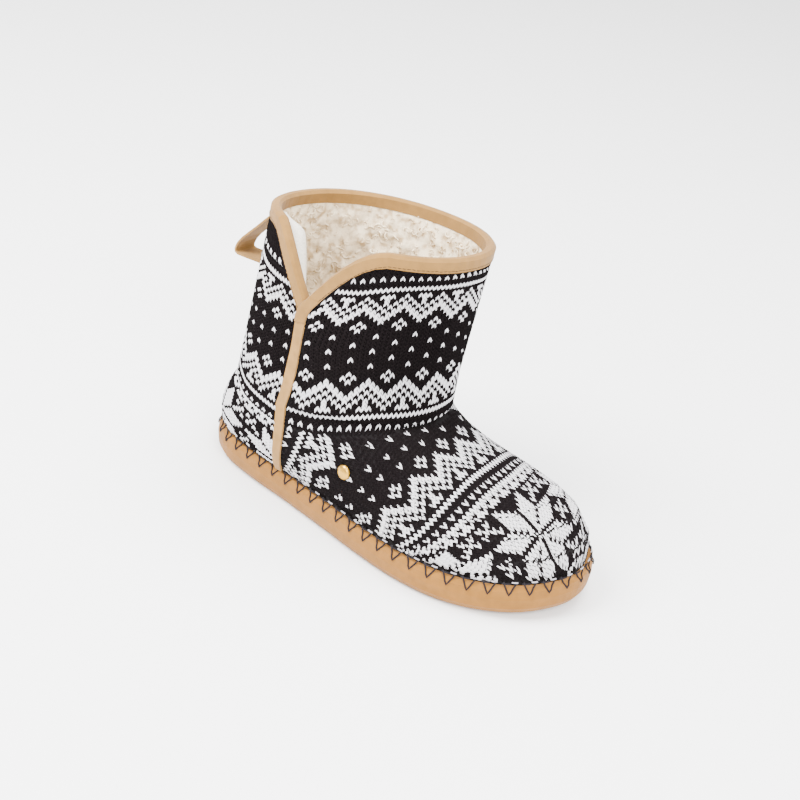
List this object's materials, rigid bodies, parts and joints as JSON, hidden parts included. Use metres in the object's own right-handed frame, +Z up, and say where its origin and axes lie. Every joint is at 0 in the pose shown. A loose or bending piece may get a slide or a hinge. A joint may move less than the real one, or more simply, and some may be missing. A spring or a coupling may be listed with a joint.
{
  "type": "knit slipper boot",
  "caption": "Ankle-high knit slipper boot for the right foot, with suede sole, bound and notched collar, side strip, back pull loop and fleece footbed.",
  "frame": {"origin": "on the floor under the outsole, halfway along the sole, on the line from the middle of the heel", "axes": "+X to the toe, -Y to the outer side of the foot, +Z up"},
  "size_m": [0.2738, 0.1182, 0.178],
  "materials": {
    "sole_suede": "brushed tan suede",
    "fleece": "cream curly pile fleece",
    "knit": "black and white stranded jersey knit",
    "trim_suede": "light tan suede trim",
    "stud_metal": "polished pale gold"
  },
  "bodies": {
    "root": {"outsole": "sole_suede", "insole": "fleece", "upper": "knit", "collar_binding": "trim_suede", "side_strip": "trim_suede", "pull_loop": "trim_suede", "stud": "stud_metal"}
  },
  "joints": []
}
